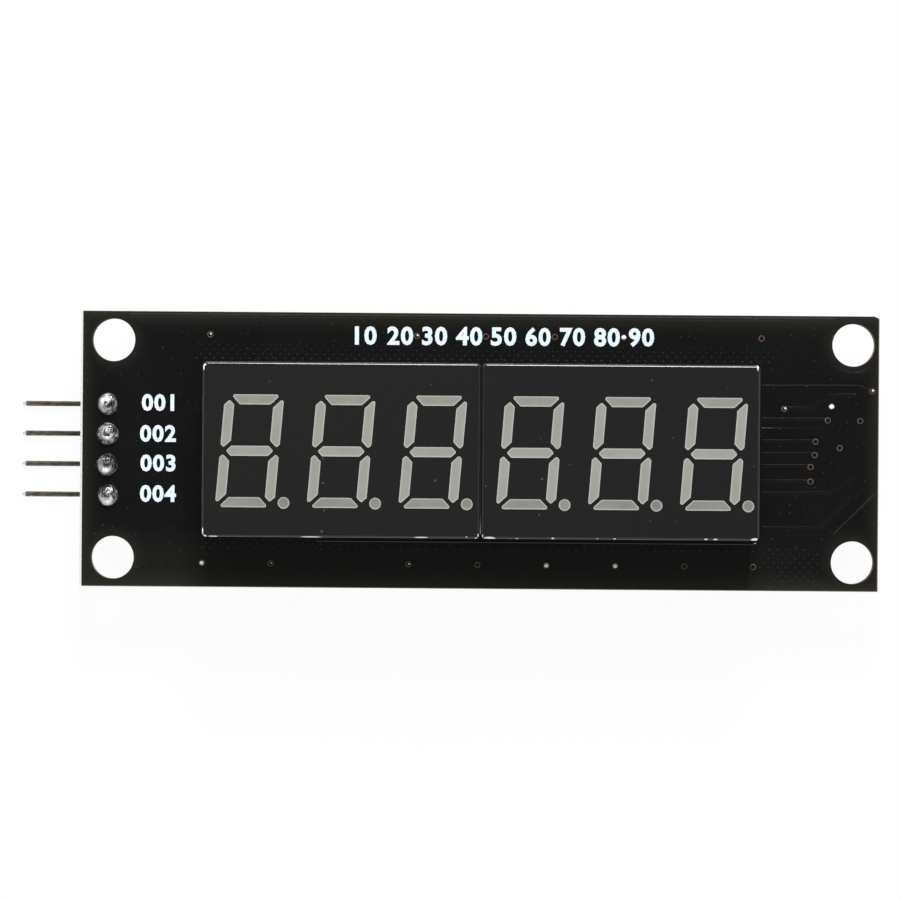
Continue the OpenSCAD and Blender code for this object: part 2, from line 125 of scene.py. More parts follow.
def mottled(tree, mm, grain, light, dark, low=0.35, high=0.65):
    """A colour that wanders between two others in patches of so many mm."""
    cloud = add(tree, "TexNoise", {"Vector": mm, "Scale": 1 / grain, "Detail": 3.0})
    share = add(tree, "MapRange", {"Value": cloud.outputs["Fac"], "From Min": low, "From Max": high})
    return add(tree, "Mix", {0: share.outputs[0], 6: linear(dark), 7: linear(light)},
               data_type="RGBA").outputs[2]


def specks(tree, mm, cell, radius, share):
    """1 in round spots, at most one in each square cell of so many mm and in that share of the cells."""
    cells = add(tree, "TexVoronoi", {"Vector": mm, "Scale": 1 / cell}, voronoi_dimensions="2D")
    luck = add(tree, "SeparateColor", {0: cells.outputs["Color"]})
    reach = add(tree, "Math", {0: luck.outputs[1], 1: radius / cell}, operation="MULTIPLY")
    inside = add(tree, "Math", {0: cells.outputs["Distance"], 1: reach.outputs[0]}, operation="LESS_THAN")
    kept = add(tree, "Math", {0: luck.outputs[0], 1: share}, operation="LESS_THAN")
    return add(tree, "Math", {0: inside.outputs[0], 1: kept.outputs[0]}, operation="MULTIPLY").outputs[0]


def roughened(tree, shader, mm, grain, strength, depth):
    """Fine relief on a surface: bumps of so many mm across, and their depth in mm."""
    cloud = add(tree, "TexNoise", {"Vector": mm, "Scale": 1 / grain, "Detail": 2.0})
    bump = add(tree, "Bump", {"Height": cloud.outputs["Fac"], "Strength": strength, "Distance": depth * MM})
    tree.links.new(bump.outputs[0], shader.inputs["Normal"])


# Black solder mask, screened and cured: a smooth black lacquer with a faint orange peel of
# 0.3 mm. Over the last 2 mm before the board's edges, and less at its holes, a painted glare
# of the white around it turns it a paler dull olive. Below the displays, except at the right
# end, it is painted a shade paler and browner, to lift the displays' shadow there. Dust and
# cured-in specks of up to 0.1 mm lie on it.
solder_mask, tree, shader, mm = begin("solder_mask_black", 0.2)
axes = add(tree, "SeparateXYZ", {0: mm})
mask_outline = (("X", -0.2, 33.25, HOLE_X), ("Y", 0.0, 11.3, HOLE_Y))  # axis, middle, half width, hole
gaps, hole_offsets = [], []
for axis, middle, half, hole in mask_outline:
    centred = add(tree, "Math", {0: axes.outputs[axis], 1: middle}, operation="SUBTRACT")
    away = add(tree, "Math", {0: centred.outputs[0]}, operation="ABSOLUTE")
    gaps.append(add(tree, "Math", {0: half, 1: away.outputs[0]}, operation="SUBTRACT").outputs[0])
    spread = add(tree, "Math", {0: axes.outputs[axis]}, operation="ABSOLUTE")
    hole_offsets.append(add(tree, "Math", {0: spread.outputs[0], 1: hole}, operation="SUBTRACT").outputs[0])
hole_way = add(tree, "CombineXYZ", {0: hole_offsets[0], 1: hole_offsets[1]})
hole_reach = add(tree, "VectorMath", {0: hole_way.outputs[0]}, operation="LENGTH")
hole_gap = add(tree, "Math", {0: hole_reach.outputs["Value"], 1: HOLE_RADIUS - 0.4}, operation="SUBTRACT")
edge_gap = add(tree, "Math", {0: gaps[0], 1: gaps[1]}, operation="MINIMUM")
nearest = add(tree, "Math", {0: edge_gap.outputs[0], 1: hole_gap.outputs[0]}, operation="MINIMUM")
# Painted glare: paler towards the board's edges and its holes
edge_glare_ramp = add(tree, "MapRange", {"Value": nearest.outputs[0], "From Min": 0.0, "From Max": 2.0,
                                  "To Min": 1.0, "To Max": 0.0})
painted_edge_glare = add(tree, "Math", {0: edge_glare_ramp.outputs[0], 1: 2.0}, operation="POWER").outputs[0]
lacquer = mottled(tree, mm, 4.0, "0e0f0e", "0b0c0b")
# Painted light: paler below the displays, lifting their shadow
lower = add(tree, "MapRange", {"Value": axes.outputs["Y"], "From Min": -6.5, "From Max": -8.5})
towards_left = add(tree, "MapRange", {"Value": axes.outputs["X"], "From Min": 27.0, "From Max": 20.0})
painted_shadow_lift = add(tree, "Math", {0: lower.outputs[0], 1: towards_left.outputs[0]}, operation="MULTIPLY")
lacquer = add(tree, "Mix", {0: painted_shadow_lift.outputs[0], 6: lacquer, 7: linear("161614")},
              data_type="RGBA").outputs[2]
glare_edged_lacquer = add(tree, "Mix", {0: painted_edge_glare, 6: lacquer, 7: linear("272620")}, data_type="RGBA").outputs[2]
dust = specks(tree, mm, 0.7, 0.05, 0.32)
dusty = add(tree, "Mix", {0: dust, 6: glare_edged_lacquer, 7: linear("3d3e3b")}, data_type="RGBA").outputs[2]
tree.links.new(dusty, shader.inputs["Base Color"])
roughened(tree, shader, mm, 0.3, 0.12, 0.02)

# Solder mask over the mesh of the ground copper: dull dark grey, a painted highlight on the crests.
mask_over_mesh, tree, shader, mm = begin("solder_mask_hatch_highlight", 0.45)
tree.links.new(mottled(tree, mm, 1.2, "303130", "1e1f1e"), shader.inputs["Base Color"])

# Raw glass-epoxy laminate where the panel was scored and snapped: brown-yellow resin with
# the cut ends of the glass cloth in layers 0.2 mm apart. The left edge is frayed, and towards
# the front it is painted near white, partly its frayed fibre and partly a painted highlight.
raw_laminate, tree, shader, mm = begin("glass_epoxy_laminate", 0.7)
axes = add(tree, "SeparateXYZ", {0: mm})
cut_ends = mottled(tree, mm, 0.2, "7d6141", "5c4330", 0.3, 0.7)
frayed = add(tree, "MapRange", {"Value": axes.outputs["X"], "From Min": BOARD_LEFT + 0.05,
                                "From Max": BOARD_LEFT - 0.01})
upper = add(tree, "MapRange", {"Value": axes.outputs["Z"], "From Min": 0.9, "From Max": 1.15,
                               "To Min": 0.12})
# Painted highlight with the frayed fibre: near white on the left face towards the front
fray_highlight_share = add(tree, "Math", {0: frayed.outputs[0], 1: upper.outputs[0]}, operation="MULTIPLY")
frayed_and_highlit = add(tree, "Mix", {0: fray_highlight_share.outputs[0], 6: cut_ends, 7: linear("fbfaf4")},
           data_type="RGBA").outputs[2]
tree.links.new(frayed_and_highlit, shader.inputs["Base Color"])
layers = add(tree, "TexWave", {"Vector": mm, "Scale": 1.6, "Distortion": 2.0, "Detail": 2.0},
             bands_direction="Z")
bump = add(tree, "Bump", {"Height": layers.outputs["Fac"], "Strength": 0.4, "Distance": 0.03 * MM})
tree.links.new(bump.outputs[0], shader.inputs["Normal"])

# Legend ink, screened epoxy: a cold bright white that stands up from the mask by its own
# thickness, slightly uneven where the mesh of the screen printed it.
legend_ink, tree, shader, mm = begin("legend_ink_epoxy", 0.55)
tree.links.new(mottled(tree, mm, 0.35, "eef7fb", "dcebf3"), shader.inputs["Base Color"])
roughened(tree, shader, mm, 0.12, 0.25, 0.02)

# Plated via: tin and copper under a skin of mask, so its ring is a dull copper brown.
via_metal, tree, shader, mm = begin("copper_plated_tarnished", 0.45, 0.6)
tree.links.new(mottled(tree, mm, 0.12, "8f755f", "534236"), shader.inputs["Base Color"])
roughened(tree, shader, mm, 0.1, 0.3, 0.01)

# Plug of cured ink and solder paste in a via: white, rough and rounded.
via_paste, tree, shader, mm = begin("via_plug_paste", 0.5)
tree.links.new(mottled(tree, mm, 0.15, "fdfefd", "e6e8e6"), shader.inputs["Base Color"])
roughened(tree, shader, mm, 0.08, 0.3, 0.02)

# Tin solder, hand soldered and cooled: frosted and nearly white where it froze slowly, and
# dark and shiny under a film of burnt flux, with swirls and pits. The film's share is an
# attribute of the joints, which also carries a painted highlight, frosted white, and a painted
# shade, dark, at a spot of each joint.
solder, tree, shader, mm = begin("tin_solder_hand_flowed", 0.3)
film = add(tree, "Attribute", attribute_name="film").outputs["Fac"]
frosted = mottled(tree, mm, 0.3, "f4f5f6", "c3c5c6")
filmed = add(tree, "Mix", {0: film, 6: frosted, 7: linear("48494b")}, data_type="RGBA").outputs[2]
tree.links.new(filmed, shader.inputs["Base Color"])
for socket, bare, covered in (("Metallic", 0.2, 0.9), ("Roughness", 0.42, 0.26)):
    share = add(tree, "MapRange", {"Value": film, "To Min": bare, "To Max": covered})
    tree.links.new(share.outputs[0], shader.inputs[socket])
swirl = add(tree, "TexWave", {"Vector": mm, "Scale": 1.3, "Distortion": 9.0, "Detail": 3.0,
                              "Detail Scale": 1.4}, wave_type="RINGS", rings_direction="Z")
bump = add(tree, "Bump", {"Height": swirl.outputs["Fac"], "Strength": 0.4, "Distance": 0.05 * MM})
tree.links.new(bump.outputs[0], shader.inputs["Normal"])

# Tinned brass of the header's square pins, drawn and cut: an olive grey with drawing lines
# along the pin and small bright nicks, and a painted highlight, near white, on the chamfered tips.
pin_metal, tree, shader, mm = begin("tinned_brass_drawn", 0.3, 1.0)
stretched = add(tree, "Mapping", {"Vector": mm, "Scale": (0.18, 1.0, 1.0)}).outputs[0]
drawn = mottled(tree, stretched, 0.11, "9b9386", "5a544c", 0.3, 0.7)
nick = specks(tree, mm, 0.9, 0.09, 0.3)
nicked = add(tree, "Mix", {0: nick, 6: drawn, 7: linear("e6e3d8")}, data_type="RGBA").outputs[2]
axes = add(tree, "SeparateXYZ", {0: mm})
# Painted highlight: near white on the chamfered tips at the cut end
cut = add(tree, "MapRange", {"Value": axes.outputs["X"], "From Min": -38.14, "From Max": -38.21})
highlit_tips = add(tree, "Mix", {0: cut.outputs[0], 6: nicked, 7: linear("fdfdfc")},
             data_type="RGBA").outputs[2]
tree.links.new(highlit_tips, shader.inputs["Base Color"])
roughened(tree, shader, stretched, 0.08, 0.35, 0.02)

# Glass-filled nylon of the header strip: black and satin, with a dry, fibrous skin.
header_nylon, tree, shader, mm = begin("nylon_glass_filled_black", 0.5)
tree.links.new(mottled(tree, mm, 0.5, "232324", "161617"), shader.inputs["Base Color"])
roughened(tree, shader, mm, 0.15, 0.3, 0.02)

# Polycarbonate housing, moulded black and glossy: mirror-like on its rounded edge and
# sides, with painted glints: small white spots along its edges and at its corners.
housing_gloss, tree, shader, mm = begin("polycarbonate_gloss_black", 0.16)
body_colour = mottled(tree, mm, 2.0, "1c1d1e", "161718")
painted_glints = [  # the middle of each in the picture, its half width and its half height in mm
    (489.4, 538.6, 0.52, 0.16), (476.0, 538.2, 0.1, 0.06), (754.8, 540.2, 0.34, 0.17),
    (466.5, 537.0, 0.07, 0.04), (510.4, 539.2, 0.05, 0.05), (516.8, 538.6, 0.1, 0.04),
    (482.6, 536.2, 0.04, 0.14), (478.0, 535.6, 0.04, 0.16), (757.8, 367.0, 0.08, 0.38),
    (203.9, 367.2, 0.06, 0.24), (205.4, 364.6, 0.1, 0.09), (202.6, 531.0, 0.05, 0.3),
    (204.6, 535.8, 0.14, 0.1), (213.0, 536.2, 0.4, 0.05), (311.0, 536.9, 0.9, 0.05),
    (421.0, 537.4, 0.6, 0.05), (552.8, 538.4, 0.14, 0.06), (597.3, 538.7, 0.05, 0.05),
    (614.6, 538.9, 0.1, 0.05), (706.0, 539.3, 0.16, 0.06), (715.5, 539.5, 0.2, 0.06),
]
# Painted glints: each is a small white patch on the rounded edge
for px, py, wide, high in painted_glints:
    middle = (*from_picture(px, py, FACE_TOP), FACE_TOP - 0.1)
    offset = add(tree, "VectorMath", {0: mm, 1: middle}, operation="SUBTRACT")
    shrunk = add(tree, "VectorMath", {0: offset.outputs[0], 1: (wide, high, 0.4)}, operation="DIVIDE")
    reach = add(tree, "VectorMath", {0: shrunk.outputs[0]}, operation="LENGTH")
    glint_share = add(tree, "MapRange", {"Value": reach.outputs["Value"], "From Min": 1.1, "From Max": 0.7})
    body_colour = add(tree, "Mix", {0: glint_share.outputs[0], 6: body_colour, 7: linear("f4f5f5")},
                      data_type="RGBA").outputs[2]
tree.links.new(body_colour, shader.inputs["Base Color"])
roughened(tree, shader, mm, 0.6, 0.03, 0.02)

# The walls where the housings touch: the same plastic, dulled, and painted paler at the
# lower end of the groove between them, a painted sheen where it opens to the light.
groove_wall, tree, shader, mm = begin("polycarbonate_groove_wall", 0.4)
axes = add(tree, "SeparateXYZ", {0: mm})
# Painted sheen: paler towards the groove's lower end
lit_end = add(tree, "MapRange", {"Value": axes.outputs["Y"], "From Min": -4.6, "From Max": -6.7})
painted_sheen_share = add(tree, "Math", {0: lit_end.outputs[0], 1: 2.2}, operation="POWER")
pale = add(tree, "Mix", {0: painted_sheen_share.outputs[0], 6: linear("1a1d1f"), 7: linear("8d979b")},
           data_type="RGBA").outputs[2]
tree.links.new(pale, shader.inputs["Base Color"])
roughened(tree, shader, mm, 0.3, 0.2, 0.02)

# Face of the display, sprayed matt charcoal so that it doesn't mirror the room: an even
# fine texture of 0.2 mm, a little paler towards the left, with a few specks of dust.
face_paint, tree, shader, mm = begin("matt_face_paint_charcoal", 0.62)
shader.inputs["Specular IOR Level"].default_value = 0.12
axes = add(tree, "SeparateXYZ", {0: mm})
side = add(tree, "MapRange", {"Value": axes.outputs["X"], "From Min": -23.0, "From Max": 23.0})
even = add(tree, "Mix", {0: side.outputs[0], 6: linear("161715"), 7: linear("121312")},
           data_type="RGBA").outputs[2]
grain = add(tree, "TexNoise", {"Vector": mm, "Scale": 1 / 0.2, "Detail": 3.0})
spread = add(tree, "MapRange", {"Value": grain.outputs["Fac"], "From Min": 0.3, "From Max": 0.7,
                                "To Min": 0.0, "To Max": 0.25})
sprayed = add(tree, "Mix", {0: spread.outputs[0], 6: even, 7: linear("262725")},
              data_type="RGBA").outputs[2]
dust = specks(tree, mm, 2.2, 0.1, 0.25)
dusty = add(tree, "Mix", {0: dust, 6: sprayed, 7: linear("474845")}, data_type="RGBA").outputs[2]
tree.links.new(dusty, shader.inputs["Base Color"])
roughened(tree, shader, mm, 0.12, 0.3, 0.01)

# Milky epoxy casting of the light wells: a warm grey, paler along the walls of each well,
# where the white reflector shines through the thin edge. The points and the level bars are
# a shade darker.
bar_resin, tree, shader, mm = begin("epoxy_casting_milky", 0.38)
rim = add(tree, "Attribute", attribute_name="rim").outputs["Fac"]
shade = add(tree, "Attribute", attribute_name="shade").outputs["Fac"]
core = add(tree, "Mix", {0: shade, 6: linear("8b8d86"), 7: linear("767771")},
           data_type="RGBA").outputs[2]
cloud = add(tree, "TexNoise", {"Vector": mm, "Scale": 1 / 1.6, "Detail": 2.0})
lift = add(tree, "MapRange", {"Value": cloud.outputs["Fac"], "From Min": 0.3, "From Max": 0.7,
                              "To Min": 0.0, "To Max": 0.16})
clouded = add(tree, "Mix", {0: lift.outputs[0], 6: core, 7: linear("aeb0a6")},
              data_type="RGBA").outputs[2]
wall_glow = add(tree, "Math", {0: rim, 1: 1.6}, operation="POWER").outputs[0]
glowing = add(tree, "Mix", {0: wall_glow, 6: clouded, 7: linear("b3b5aa")}, data_type="RGBA").outputs[2]
tree.links.new(glowing, shader.inputs["Base Color"])
roughened(tree, shader, mm, 0.8, 0.08, 0.02)

# Glass-epoxy board inside a display: bare green mask, seen only if the housing is opened.
carrier_mask, tree, shader, mm = begin("solder_mask_green", 0.4)
tree.links.new(mottled(tree, mm, 1.5, "44734f", "355c40"), shader.inputs["Base Color"])

# Light chips: yellowish semiconductor crystal with a shiny sawn face.
chip_crystal, tree, shader, mm = begin("semiconductor_crystal", 0.25)
tree.links.new(mottled(tree, mm, 0.1, "d9c66f", "a8924c"), shader.inputs["Base Color"])

# Tinned steel of the display's pins, the chip's leads and the end caps: soft grey metal,
# with a fine grain from the dip.
tinned_metal, tree, shader, mm = begin("tin_plate_satin", 0.36, 1.0)
tree.links.new(mottled(tree, mm, 0.2, "c9c9c6", "a3a39f"), shader.inputs["Base Color"])
roughened(tree, shader, mm, 0.1, 0.25, 0.01)

# Epoxy moulding compound of the driver chip: near-black with mineral sparkle, matt from
# the spark-eroded mould.
chip_epoxy, tree, shader, mm = begin("moulding_epoxy_black", 0.66)
sparkle = specks(tree, mm, 0.22, 0.03, 0.5)
packed = mottled(tree, mm, 0.3, "2a2b2c", "1f2021")
sparkling = add(tree, "Mix", {0: sparkle, 6: packed, 7: linear("4c4d4e")}, data_type="RGBA").outputs[2]
tree.links.new(sparkling, shader.inputs["Base Color"])
roughened(tree, shader, mm, 0.1, 0.5, 0.02)

# Ruthenium glaze of the chip resistors: glossy black over white ceramic.
resistor_glaze, tree, shader, mm = begin("resistor_glaze_black", 0.22)
tree.links.new(mottled(tree, mm, 0.4, "1d1e21", "141517"), shader.inputs["Base Color"])

# Sintered ceramic of the capacitors: tan brown, fired dull, with darker flecks.
capacitor_ceramic, tree, shader, mm = begin("capacitor_ceramic_tan", 0.45)
fired = mottled(tree, mm, 0.5, "ab8a65", "8e6f4d")
flecks = specks(tree, mm, 0.3, 0.04, 0.4)
flecked = add(tree, "Mix", {0: flecks, 6: fired, 7: linear("6c5238")}, data_type="RGBA").outputs[2]
tree.links.new(flecked, shader.inputs["Base Color"])

# White paper floor. The camera, and any metal that mirrors it, sees it as white, with a
# twentieth of its real shading left in, so that the module's shadow stays.
white_paper, tree, shader, mm = begin("white_paper_matt", 0.9)
tree.links.new(mottled(tree, mm, 30.0, "f4f4f4", "f0f0f0"), shader.inputs["Base Color"])
path = add(tree, "LightPath")
seen = path.outputs["Is Camera Ray"]
for ray in ("Is Glossy Ray", "Is Transmission Ray"):
    seen = add(tree, "Math", {0: seen, 1: path.outputs[ray]}, operation="MAXIMUM").outputs[0]
share = add(tree, "Math", {0: seen, 1: 0.95}, operation="MULTIPLY")
white = add(tree, "Emission", {"Color": (1, 1, 1, 1), "Strength": 1.0})
both = add(tree, "MixShader", {0: share.outputs[0], 1: shader.outputs[0], 2: white.outputs[0]})
tree.links.new(both.outputs[0], tree.nodes["Material Output"].inputs["Surface"])


# Making pieces

def copied(node):
    """A bmesh of a CAD node, with its loose triangles merged and its flat faces made whole."""
    bm = bmesh.new()
    bm.from_mesh(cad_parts[node].data)
    bmesh.ops.remove_doubles(bm, verts=bm.verts, dist=0.002 * MM)
    bmesh.ops.dissolve_limit(bm, angle_limit=math.radians(0.6), verts=bm.verts, edges=bm.edges)
    return bm


def rounded(bm, width, sharper_than=40):
    """Rounds a piece's sharp edges, as moulding, plating or cutting leaves them."""
    limit = math.radians(sharper_than)
    sharp = [e for e in bm.edges if e.is_manifold and e.calc_face_angle(0) > limit]
    bmesh.ops.bevel(bm, geom=sharp, offset=width * MM, affect="EDGES", segments=2, profile=0.5,
                    material=-1, clamp_overlap=True)


def keep(name, bm, finishes, stands_for=(), smooth_to=32, weighted=False):
    """Makes the finished piece: smooth apart from its sharp edges, and part of the module."""
    for face in bm.faces:
        face.smooth = True
    for edge in bm.edges:
        edge.smooth = edge.is_manifold and edge.calc_face_angle(math.pi) < math.radians(smooth_to)
    mesh = bpy.data.meshes.new(name)
    bm.to_mesh(mesh)
    bm.free()
    for finish in finishes:
        mesh.materials.append(finish)
    piece = bpy.data.objects.new(name, mesh)
    scene.collection.objects.link(piece)
    if weighted:
        even = piece.modifiers.new("even_shading", "WEIGHTED_NORMAL")
        even.keep_sharp = True
        even.weight = 90
    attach(piece, "root")
    if stands_for:
        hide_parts(*stands_for)


def refinish(node, finish):
    """Gives a CAD node that stays as it is one material."""
    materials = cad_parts[node].data.materials
    materials.clear()
    materials.append(finish)


def mesh_of(data):
    """The mesh of a text or a curve, which is then thrown away."""
    holder = bpy.data.objects.new(data.name, data)
    scene.collection.objects.link(holder)
    bpy.context.view_layer.update()
    mesh = bpy.data.meshes.new_from_object(holder.evaluated_get(bpy.context.evaluated_depsgraph_get()))
    bpy.data.objects.remove(holder)
    bpy.data.curves.remove(data)
    return mesh


def ridges(name, runs, width, height):
    """Low rounded ridges of solder mask over copper, along runs of points in mm on the board's front."""
    curve = bpy.data.curves.new(name, "CURVE")
    curve.dimensions = "3D"
    curve.bevel_depth = width / 2 * MM
    curve.bevel_resolution = 2
    curve.use_fill_caps = True
    for run in runs:
        spline = curve.splines.new("POLY")
        spline.points.add(len(run) - 1)
        for point, (x, y) in zip(spline.points, run):
            point.co = (x * MM, y * MM, 0, 1)
    bm = bmesh.new()
    bm.from_mesh(mesh_of(curve))
    bmesh.ops.bisect_plane(bm, geom=bm.verts[:] + bm.edges[:] + bm.faces[:], plane_co=(0, 0, 0),
                           plane_no=(0, 0, -1), clear_outer=True)
    bmesh.ops.scale(bm, vec=(1, 1, 2 * height / width), verts=bm.verts)
    bmesh.ops.translate(bm, vec=(0, 0, BOARD_TOP * MM), verts=bm.verts)
    keep(name, bm, [solder_mask], smooth_to=60)


def numeral(bm, words, middle, height):
    """Adds printed numbers to a bmesh, as high as asked, with their middle at a place in mm."""
    thick = 0.03  # mm of ink
    text = bpy.data.curves.new("numeral", "FONT")
    text.body = words
    text.align_x = "CENTER"
    text.resolution_u = 3
    text.offset = 0.035  # bolder than the typeface is
    text.space_character = 1.12
    text.extrude = 0.01
    mesh = mesh_of(text)
    low = Vector([min(v.co[i] for v in mesh.vertices) for i in range(3)])
    high = Vector([max(v.co[i] for v in mesh.vertices) for i in range(3)])
    size = height * MM / (high.y - low.y)
    centre = (low + high) / 2
    mesh.transform(Matrix.Translation((middle[0] * MM, middle[1] * MM, (BOARD_TOP + thick / 2) * MM))
                   @ Matrix.Diagonal((size, size, thick * MM / (high.z - low.z), 1))
                   @ Matrix.Translation(-centre))
    bm.from_mesh(mesh)


# Circuit board: the CAD board, with the scored and snapped edge of its laminate

# In mm, what the score of the panel and the drill do to the nominal board
WEB_LOW, WEB_HIGH = 0.45, 1.15  # the score leaves a web at mid height
WEB_OUT = 0.2                   # how far the web sticks out past the left edge
RIGHT_SHORT, LOWER_SHORT, UPPER_SHORT = 0.1, 0.07, 0.03  # how far the faces end short of the others
DRILLED_WIDE = 0.07             # how much wider the mounting holes are in radius
NEAR = 0.01 * MM
board = copied("circuit_board")
for z in (WEB_LOW, WEB_HIGH):
    bmesh.ops.bisect_plane(board, geom=board.verts[:] + board.edges[:] + board.faces[:],
                           plane_co=(0, 0, z * MM), plane_no=(0, 0, 1))
low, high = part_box("circuit_board")
for v in board.verts:
    if NEAR < v.co.z < BOARD_TOP * MM - NEAR:
        if v.co.x < low.x + NEAR:
            v.co.x -= WEB_OUT * MM
    else:
        if v.co.x > high.x - NEAR:
            v.co.x -= RIGHT_SHORT * MM
        if v.co.y < low.y + NEAR:
            v.co.y += LOWER_SHORT * MM
        elif v.co.y > high.y - NEAR:
            v.co.y -= UPPER_SHORT * MM
    for hole in product((-HOLE_X, HOLE_X), (-HOLE_Y, HOLE_Y)):
        away = v.co.xy - Vector(hole) * MM
        if away.length < (HOLE_RADIUS + 0.1) * MM:
            v.co.xy += away.normalized() * DRILLED_WIDE * MM
for face in board.faces:
    face.material_index = 0 if abs(face.normal.z) > 0.97 else 1
keep("board_laminate", board, [solder_mask, raw_laminate], ["circuit_board"])

# Copper tracks under the mask, beside the right display and round it

EDGE = 762.0  # where the tracks come out from under the right display, in the picture
tracks = [
    [(EDGE, 386.4), (858, 386.4), (869, 390.6)],
    [(812, 413), (826, 399.4), (829, 395.2), (856, 395.2)],
    [(788, 408.1), (811, 408.1), (820, 399.6)],
    [(EDGE, 419.3), (826, 419.3)],
    [(EDGE, 429.1), (823, 429.1), (820, 438)],
    [(EDGE, 441.1), (813, 441.1)],
    [(EDGE, 453.7), (812, 453.7)],
    [(EDGE, 465.8), (808, 465.8)],
    [(EDGE, 481.1), (808, 481.1)],
    [(EDGE, 493.2), (833, 493.2), (855, 476.5)],
    [(EDGE, 528.0), (818, 528.0), (863, 489)],
    [(131, 317.2), (836, 322.2)],
    [(131, 314.8), (836, 319.8)],
    [(750.6, 548), (750.2, 583)],
]
ground_tracks = [[(317, 540.5), (756, 544.0)], [(833, 534), (874, 494.5)]]
wide_track = [[(782, 537), (824, 537)]]
ARC_RADIUS = 2.35  # mm, of the track below the upper right mounting hole
arc = [math.radians(a) for a in range(236, 312, 4)]


def placed(runs):
    """Runs of points in the picture as runs of points in mm."""
    return [[from_picture(*point) for point in run] for run in runs]


around = [(HOLE_X + ARC_RADIUS * math.cos(a), HOLE_Y + ARC_RADIUS * math.sin(a)) for a in arc]
ridges("masked_tracks", placed(tracks) + [around], 0.24, 0.014)
ridges("masked_ground_track", placed(ground_tracks), 0.17, 0.05)
ridges("masked_track_wide", placed(wide_track), 0.45, 0.014)

# Hatched ground copper: small lozenges of mask over the mesh of the copper plane

ROW, COLUMN = 4.45, 8.8  # pixels from one row and column of the hatch to the next
fields = [  # left, right, top and bottom in the picture, half steps to the right, size, its growth by rows
    (196.8, 770, 344.5, 358.5, 1, 0.6, 0.13),
    (202, 317, 538.6, 548, 0, 0.9, 0),
    (317, 752, 548.4, 549, 1, 1, 0),
    (760, 818, 549.6, 581, 0, 0.75, 0),
]
hatch = bmesh.new()
for left, right, top, bottom, shift, smallest, growth in fields:
    rows, columns = int((bottom - top) / ROW) + 1, int((right - left) / COLUMN) + 1
    for row, column in product(range(rows), range(columns)):
        px = left + COLUMN * (column + 0.5 * ((row + shift) % 2))
        x, y = from_picture(px, top + ROW * row + (px - left) * ROW_FALL)
        across = (smallest + growth * row) * MM
        bmesh.ops.create_cone(hatch, cap_ends=True, segments=4, radius1=0.11 * across,
                              radius2=0.08 * across, depth=0.013 * MM,
                              matrix=Matrix.Translation((x * MM, y * MM, (BOARD_TOP + 0.006) * MM))
                              @ Matrix.Diagonal((1, 0.5, 1, 1)))
keep("ground_hatch", hatch, [mask_over_mesh], smooth_to=10)

# Vias: the CAD rings and bores, with paste, mask or beads of solder on them

GROUP_X, GROUP_Y, GRID = 27.1, 0.1, 1.27  # mm; the group of vias at the right end
upper_vias = [(VIA_PITCH * k + 0.17, 9.5) for k in (-4, -1, 0, 1, 2, 4)]
lower_vias = [(VIA_PITCH * k - 0.4, -9.4) for k in (-4, -3, -1, 0, 1, 2, 3, 4)]
right_vias = [(GROUP_X + GRID * x, GROUP_Y + GRID * y) for x, y in (
    (-1.73, 2.83), (1.34, 2.99), (3.98, 4.02), (1.1, 2.1), (3.21, 2.08),
    (0.31, 0.71), (1.89, 0.31), (0.26, -0.16), (0, -0.94), (0, -1.89))]
vias = upper_vias + lower_vias + right_vias

# The number of a via, and half the width and half the height of what fills it, in mm
plug_sizes = {4: (0.2, 0.07), 15: (0.21, 0.08), 11: (0.18, 0.06), 6: (0.16, 0.06), 10: (0.18, 0.07)}
plugs = bmesh.new()
for number, (across, tall) in plug_sizes.items():
    x, y = vias[number]
    bmesh.ops.create_uvsphere(plugs, u_segments=20, v_segments=12, radius=1,
                              matrix=Matrix.Translation((x * MM, y * MM, (BOARD_TOP + 0.03) * MM))
                              @ Matrix.Diagonal((across * MM, across * 0.9 * MM, tall * MM, 1)))
keep("via_plugs", plugs, [via_paste], smooth_to=60)

tents = bmesh.new()  # the mask that closes the other bores, and leaves a ring of copper bare
for number, (x, y) in enumerate(vias):
    if number not in plug_sizes:
        bmesh.ops.create_cone(tents, cap_ends=True, segments=24, radius1=0.19 * MM,
                              radius2=0.175 * MM, depth=0.06 * MM,
                              matrix=Matrix.Translation((x * MM, y * MM, (BOARD_TOP + 0.015) * MM)))
keep("via_tents", tents, [solder_mask], smooth_to=30)

bead_sizes = {0: 0.09, 1: 0.1, 7: 0.06, 8: 0.08, 14: 0.1, 16: 0.1}
beads = bmesh.new()
for number, across in bead_sizes.items():
    x, y = vias[number]
    middle = ((x + 0.05) * MM, (y + 0.04) * MM, (BOARD_TOP + 0.02) * MM)
    bmesh.ops.create_uvsphere(beads, u_segments=16, v_segments=10, radius=across * MM,
                              matrix=Matrix.Translation(middle))
keep("via_solder_beads", beads, [solder], smooth_to=60)
refinish("plated_vias", via_metal)

# Printed legend: plain numbers only, where the board carries its lettering

# Where the numbers are in the picture, each by its middle, and their heights in mm
LINE_START, LINE_STEP, LINE_HEIGHT = 365.8, 34.45, 1.56
ON_LINE = (483, 336.4)  # a point on the line above the displays
LABELS_X, LABEL_HEIGHT = 158, 1.42
label_rows = (402.5, 433.5, 463.0, 493.5)
legend = bmesh.new()
for step in range(9):
    px = LINE_START + LINE_STEP * step
    py = ON_LINE[1] + (px - ON_LINE[0]) * ROW_FALL
    numeral(legend, str(10 * (step + 1)), from_picture(px, py), LINE_HEIGHT)
for row, py in enumerate(label_rows):
    numeral(legend, f"{row + 1:03d}", from_picture(LABELS_X, py), LABEL_HEIGHT)
keep("legend_numbers", legend, [legend_ink], smooth_to=20)

# Pin header: strip, bent pins, and the hand-soldered joints on the front

